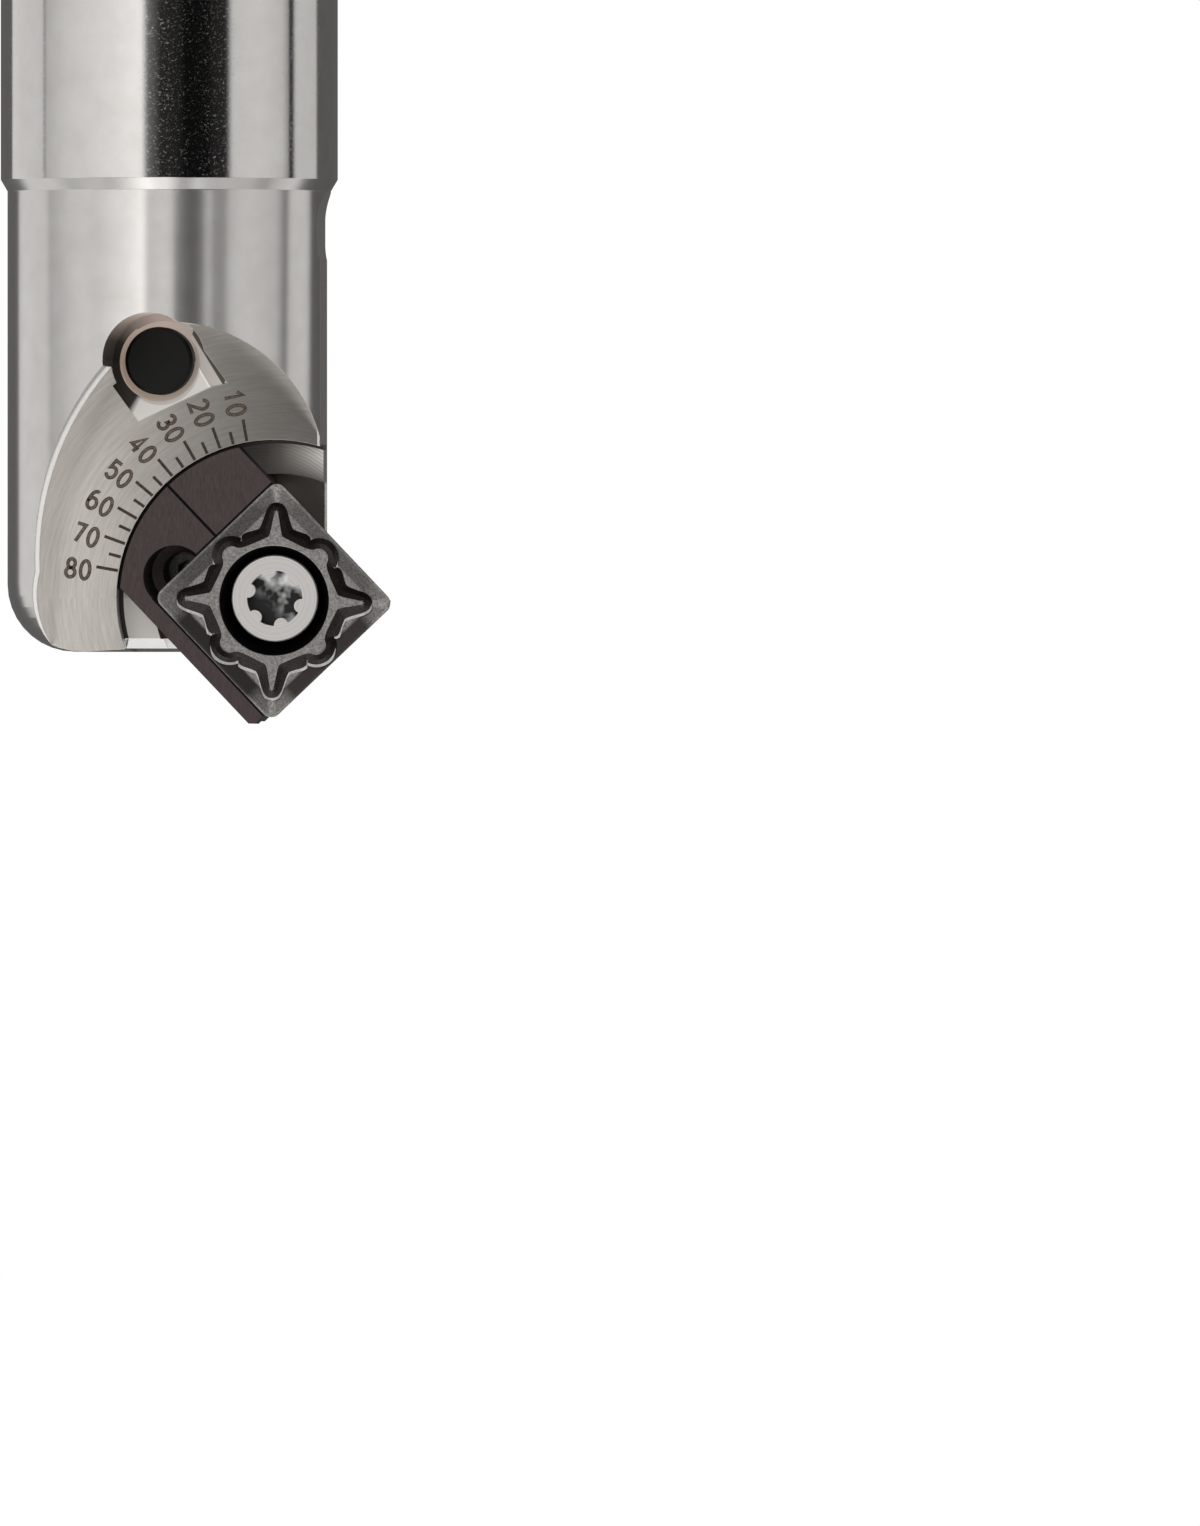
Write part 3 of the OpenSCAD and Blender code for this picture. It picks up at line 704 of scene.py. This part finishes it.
def arc(cx, cy, rx, ry, start, end, steps=12):
    """Points along an ellipse, angles in degrees, in a digit's box one unit high."""
    angles = [math.radians(start + (end - start) * i / steps) for i in range(steps + 1)]
    return [(cx + rx * math.cos(a), cy + ry * math.sin(a)) for a in angles]


# Strokes of each digit in a box from (-0.5, 0) to (0.5, 1)
DIGITS = {
    "0": [arc(0, 0.5, 0.42, 0.5, 0, 360, 24)],
    "1": [[(-0.3, 0.72), (0.08, 1.0), (0.08, 0.0)]],
    "2": [arc(0, 0.72, 0.4, 0.28, 165, -35) + [(-0.42, 0.0), (0.42, 0.0)]],
    "3": [arc(-0.02, 0.75, 0.36, 0.25, 160, -80) + arc(-0.02, 0.27, 0.42, 0.27, 80, -160)],
    "4": [[(0.2, 0.0), (0.2, 1.0), (-0.42, 0.28), (0.42, 0.28)]],
    "5": [[(0.36, 1.0), (-0.3, 1.0), (-0.36, 0.53)] + arc(0, 0.32, 0.42, 0.32, 125, -150)],
    "6": [arc(0.05, 0.45, 0.47, 0.55, 70, 180) + arc(0, 0.3, 0.42, 0.3, 180, 540, 20)],
    "7": [[(-0.4, 1.0), (0.4, 1.0), (-0.12, 0.0)]],
    "8": [arc(0, 0.75, 0.34, 0.25, -90, 270, 20), arc(0, 0.26, 0.42, 0.26, 90, 450, 20)],
}


def ribbon(points, width):
    """A flat strip of this width along the points, as corner pairs and faces."""
    verts, faces = [], []
    for i, (px, py) in enumerate(points):
        ax, ay = points[max(i - 1, 0)]
        bx, by = points[min(i + 1, len(points) - 1)]
        if 0 < i < len(points) - 1:
            d1 = Vector((px - ax, py - ay)).normalized()
            d2 = Vector((bx - px, by - py)).normalized()
            along = (d1 + d2).normalized()
            reach = width / 2 / max(abs(along.dot(d1)), SHARPEST_MITRE)
        else:
            along = Vector((bx - ax, by - ay)).normalized()
            reach = width / 2
        side = Vector((-along.y, along.x)) * reach
        verts += [(px + side.x, py + side.y), (px - side.x, py - side.y)]
        if i:
            k = 2 * i
            faces.append((k - 2, k - 1, k + 1, k))
    return verts, faces


def face_piece(name, lines, width, lift, mat):
    """A piece of flat strips laid on the scale face, from front-view lines in mm."""
    verts, faces = [], []
    for points in lines:
        v, f = ribbon(points, width)
        base = len(verts)
        verts += [(x * MM, (FACE_Y - lift) * MM, z * MM) for x, z in v]
        faces += [tuple(base + i for i in face) for face in f]
    obj = mesh_object(name, verts, faces, mat)
    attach(obj, "root")


def tick_lines():
    """The scale's ticks, as pairs of front-view points."""
    for value in range(FIRST_VALUE, LAST_VALUE + 1, STEP):
        a = math.radians(SCALE_ZERO + value)
        end = TICK_LONG if value % LABEL_STEP == 0 else TICK_SHORT
        yield [(PIVOT_X + r * math.cos(a), PIVOT_Z + r * math.sin(a)) for r in (TICK_START, end)]


def label_lines():
    """The strokes of the scale's numbers, as front-view points."""
    for value in range(FIRST_VALUE, LAST_VALUE + 1, LABEL_STEP):
        a = math.radians(SCALE_ZERO + value + LABEL_TURN)
        out = Vector((math.cos(a), math.sin(a)))
        up = Vector((out.y, -out.x))
        for i, digit in enumerate(str(value)):
            centre = Vector((PIVOT_X, PIVOT_Z)) + out * (FIRST_DIGIT_R - i * DIGIT_PITCH)
            for stroke in DIGITS[digit]:
                yield [tuple(centre - out * sx * DIGIT_W + up * (sy - 0.5) * DIGIT_H)
                       for sx, sy in stroke]


def make_scale():
    burnt = engraving_material("burnt_edge", rgb(0.045, 0.028, 0.02), rgb(0.11, 0.075, 0.055))
    core = engraving_material("burnt_core", rgb(0.10, 0.075, 0.06), rgb(0.26, 0.21, 0.17))
    numbers = engraving_material("burnt_number", rgb(0.075, 0.052, 0.04), rgb(0.17, 0.13, 0.10))
    face_piece("scale_ticks", tick_lines(), TICK_W, MARK_LIFT, burnt)
    face_piece("scale_numbers", label_lines(), STROKE_W, MARK_LIFT, numbers)
    face_piece("scale_numbers_core", label_lines(), STROKE_W * CORE_SHARE, 2 * MARK_LIFT, core)


# Raised star on the insert: its slopes, from crest to foot, and a painted highlight along the foot

# The middle and radius of its four lobes, and the reach of its four spikes
STAR_LOBE = 4.55
CREST_LOBE, FOOT_LOBE = 0.77, 1.42
CREST_TIP, FOOT_TIP = 6.72, 7.26
# Points of its outline between spike and lobe, as degrees from the spike and radius
CREST_SIDE = [(1.4, 6.62), (5.6, 4.85), (8, 4.75), (29, 4.55)]
FOOT_SIDE = [(5.1, 6.95), (11.6, 5.45), (15, 5.33), (27.5, 5.45)]
LOBE_ANGLES = (80, 60, 40, 20)
SMOOTHINGS = 2
# The groove around it, and the rake that rises from the groove to the insert's edge
GROOVE_DEPTH = 0.4
RAKE_OUT, RAKE_W = 6.2, 1.0
# How far the slopes reach over crest and foot, and how far they lie above the insert
CREST_OVERLAP, FOOT_OVERLAP = 0.04, 0.08
CREST_LIFT, MIDDLE_LIFT, FOOT_LIFT = 0.012, 0.09, 0.07
# The painted highlight's gap to the foot, its greatest width, its lift, and how fast it widens
# downwards
LINE_GAP, LINE_W, LINE_LIFT = 0.02, 0.22, 0.1
LINE_GAIN, LINE_START = 1.6, 0.1


def star_ring(side, tip, lobe):
    """Closed outline of the star in the insert's own axes, with its corners rounded off."""
    eighth = list(side)
    for a in LOBE_ANGLES:
        x = STAR_LOBE + lobe * math.cos(math.radians(a))
        y = lobe * math.sin(math.radians(a))
        eighth.append((45 - math.degrees(math.atan2(y, x)), math.hypot(x, y)))
    mirrored = [(90 - a, r) for a, r in reversed(eighth)]
    quarter = [(0, tip)] + eighth + [(45, STAR_LOBE + lobe)] + mirrored
    polar = [(math.radians(a + 90 * q + 45), r) for q in range(4) for a, r in quarter]
    ring = [Vector((r * math.cos(a), r * math.sin(a))) for a, r in polar]
    for _ in range(SMOOTHINGS):
        ring = [p for a, b in zip(ring, ring[1:] + ring[:1])
                for p in (a * 0.75 + b * 0.25, a * 0.25 + b * 0.75)]
    return ring


def outwards(ring, i):
    """Direction away from the star at a point of its outline."""
    along = (ring[(i + 1) % len(ring)] - ring[i - 1]).normalized()
    return Vector((along.y, -along.x))


def groove_height(p):
    """Height of the insert's front beside the star at this point."""
    reach = max(abs(p.x), abs(p.y))
    return INSERT_T - GROOVE_DEPTH * unit((RAKE_OUT - reach) / RAKE_W)


def on_insert(p, height):
    """A point of the insert's own axes in the shared frame, in metres."""
    u, v = p.x + INSERT_U, p.y + INSERT_V
    c, s = math.cos(HOLDER_TURN), math.sin(HOLDER_TURN)
    return ((PIVOT_X + u * c - v * s) * MM, (TOP_Y + INSERT_T - height) * MM,
            (PIVOT_Z + u * s + v * c) * MM)


def insert_piece(name, rows, mat):
    """A closed band around the insert's star, from rows of points from its inside out."""
    wide, n = len(rows[0]), len(rows)
    verts = [point for row in rows for point in row]
    faces = []
    for i in range(n):
        k, after = wide * i, wide * ((i + 1) % n)
        faces += [(k + j, after + j, after + j + 1, k + j + 1) for j in range(wide - 1)]
    obj = mesh_object(name, verts, faces, mat)
    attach(obj, "swivel")


def make_star():
    crest = star_ring(CREST_SIDE, CREST_TIP, CREST_LOBE)
    foot = star_ring(FOOT_SIDE, FOOT_TIP, FOOT_LOBE)
    slopes, lines = [], []
    for i, (top, bottom) in enumerate(zip(crest, foot)):
        away = outwards(foot, i)
        inner = top - outwards(crest, i) * CREST_OVERLAP
        outer = bottom + away * FOOT_OVERLAP
        low = groove_height(outer) + FOOT_LIFT
        slopes.append([on_insert(inner, INSERT_T + CREST_LIFT),
                       on_insert((inner + outer) / 2, (INSERT_T + low) / 2 + MIDDLE_LIFT),
                       on_insert(outer, low)])
        rise = away.x * math.sin(HOLDER_TURN) + away.y * math.cos(HOLDER_TURN)
        width = LINE_W * unit(-rise * LINE_GAIN - LINE_START)
        sides = (bottom + away * LINE_GAP, bottom + away * (LINE_GAP + width))
        lines.append([on_insert(p, groove_height(p) + LINE_LIFT) for p in sides])
    insert_piece("star_slopes", slopes, star_material())
    insert_piece("star_foot_highlights", lines, star_edge_material())


# Studio

# Brightness of the studio that polished metal reflects, by azimuth in degrees: level with
# the tool, and above and below that. All of it is turned around the tool by STUDIO_TURN.
LEVEL = [(-180, 0.11), (-132, 0.12), (-130, 0.72), (-91, 0.62), (-89.5, 0.16), (-88, 0.50),
         (-70, 0.66), (-45, 0.78), (-25, 0.92), (-13, 1.0), (-9, 0.16), (0, 0.02), (13, 0.012),
         (17, 0.003), (33, 0.004), (36, 0.012), (46, 0.02), (50, 0.64), (70, 0.68), (90, 0.58),
         (95.5, 0.36), (97, 0.04), (100, 0.04), (103, 0.60), (126.5, 0.56), (129, 0.11),
         (180, 0.11)]
AROUND = [(-180, 0.11), (-130.5, 0.12), (-128.5, 0.74), (-94, 0.66), (-88, 0.40), (-70, 0.64),
          (-55, 0.76), (-45, 0.90), (-36, 1.12), (-25, 1.38), (-13, 1.60), (-9.5, 0.65), (-7, 1.0),
          (2, 1.2), (7, 1.25), (12, 0.42), (22, 0.24), (30, 0.40), (32, 1.25), (36, 1.4),
          (38, 0.70), (48, 0.66), (67, 0.60), (88, 0.52), (92, 0.45), (95, 0.16), (98, 0.16),
          (101, 0.56), (125, 0.80), (128, 0.10), (180, 0.10)]
STUDIO_TURN = math.radians(1.4)
# Sines of the elevation over which the first gives way to the second
LEVEL_ENDS = (0.06, 0.16)
# Share of that brightness by the sine of the elevation: everywhere, and on both sides of the
# front, which lie between these azimuths in radians
BY_HEIGHT = [(-1.0, 1.0), (0.7, 1.0), (0.85, 0.12), (1.0, 0.08)]
BESIDE_FRONT = [(-0.85, 1.0), (-0.75, 0.2), (-0.35, 0.2), (-0.15, 1.0), (0.25, 1.0),
                (0.38, 0.22), (0.65, 0.22), (0.75, 0.6)]
BESIDE_STARTS, BESIDE_ENDS = (0.2, 0.35), (1.05, 0.9)
# Plain light on the object, and the tint of what it reflects
SKY = 0.55
TINT = (1.0, 0.985, 0.965)

FLOOR_Z = -120.0
FLOOR_SIZE = 6000.0
FLOOR_GREY = 0.8
# What the camera sees of the floor is mostly this white, so that it still shows the shadow
FLOOR_WHITE, FLOOR_WHITE_SHARE = 1.1, 0.85
# In metres
LAMP_AIM = Vector((0, 0, -0.02))


def make_world():
    """White to the camera, plain light on the object, and bands of light in reflections."""
    world = bpy.data.worlds.new("studio")
    bpy.context.scene.world = world
    world.use_nodes = True
    g = Graph(world.node_tree)
    x, y, z = g.split(g.node("ShaderNodeTexCoord").outputs["Generated"])
    azimuth = g.math("ARCTAN2", x, g.math("MULTIPLY", y, -1.0))
    turn = g.math("ADD", azimuth, STUDIO_TURN)
    share = g.turn_share(turn)
    level, around = [g.ramp(share, [(a / 360 + 0.5, rgb(*(v * t for t in TINT)))
                                    for a, v in table]) for table in (LEVEL, AROUND)]
    bands = g.mix(g.slope(g.math("ABSOLUTE", z), *LEVEL_ENDS), level, around)
    height = g.math("ADD", g.math("MULTIPLY", z, 0.5), 0.5)
    dimmed, screens = [g.ramp(height, [(h / 2 + 0.5, v) for h, v in table])
                       for table in (BY_HEIGHT, BESIDE_FRONT)]
    off_front = g.math("ABSOLUTE", turn)
    beside = g.both(g.slope(off_front, *BESIDE_STARTS), g.slope(off_front, *BESIDE_ENDS))
    dimmed = g.mix(beside, dimmed, g.vector("MULTIPLY", dimmed, screens))
    studio = g.vector("MULTIPLY", bands, dimmed)
    path = g.node("ShaderNodeLightPath").outputs
    seen = g.paint(grey(SKY),
                   (g.either(path["Is Glossy Ray"], path["Is Transmission Ray"]), studio),
                   (path["Is Camera Ray"], grey(1.0)))
    background = g.node("ShaderNodeBackground")
    g.fill(background, Color=seen)
    out = g.node("ShaderNodeOutputWorld")
    g.link(background.outputs[0], out.inputs[0])


def floor_material():
    """Grey to the light, and nearly white to the camera."""
    m = bpy.data.materials.new("pale_floor")
    m.use_nodes = True
    g = Graph(m.node_tree)
    diffuse = g.node("ShaderNodeBsdfDiffuse")
    g.fill(diffuse, Color=grey(FLOOR_GREY))
    white = g.node("ShaderNodeEmission")
    g.fill(white, Color=grey(1.0), Strength=FLOOR_WHITE)
    path = g.node("ShaderNodeLightPath")
    mixed = g.node("ShaderNodeMixShader")
    g.put(mixed.inputs[0], g.math("MULTIPLY", path.outputs["Is Camera Ray"], FLOOR_WHITE_SHARE))
    g.link(diffuse.outputs[0], mixed.inputs[1])
    g.link(white.outputs[0], mixed.inputs[2])
    out = g.node("ShaderNodeOutputMaterial")
    g.link(mixed.outputs[0], out.inputs[0])
    return m


def make_floor():
    half = FLOOR_SIZE / 2
    corners = [(-half, -half), (half, -half), (half, half), (-half, half)]
    floor = mesh_object("floor", [(x * MM, y * MM, FLOOR_Z * MM) for x, y in corners],
                        [(0, 1, 2, 3)], floor_material())
    floor.visible_glossy = False


def make_lamp(name, azimuth, height, distance, size, power):
    data = bpy.data.lights.new(name, "AREA")
    data.size = size * MM
    data.energy = power
    lamp = bpy.data.objects.new(name, data)
    bpy.context.scene.collection.objects.link(lamp)
    lamp.visible_glossy = False
    lamp.location = (direction(azimuth) * distance + Vector((0, 0, height))) * MM
    aim_along(lamp, LAMP_AIM - lamp.location)


# Assembly

def dress(node, mat):
    """Gives a CAD object its material."""
    slots = frame["nodes"][node].data.materials
    if len(slots):
        slots[0] = mat
    else:
        slots.append(mat)


make_camera()
make_world()
make_floor()
make_lamp("key", azimuth=-60, height=500, distance=700, size=400, power=3.0)
make_lamp("fill", azimuth=70, height=300, distance=800, size=500, power=1.2)
dress("cutter_body", body_material())
dress("swivel_holder", holder_material())
dress("cutting_insert", insert_material())
dress("insert_screw", screw_material())
dress("lock_screw", lock_material())
dress("coolant_plug", plug_material())
make_scale()
make_star()

bpy.context.scene.view_settings.view_transform = "Standard"
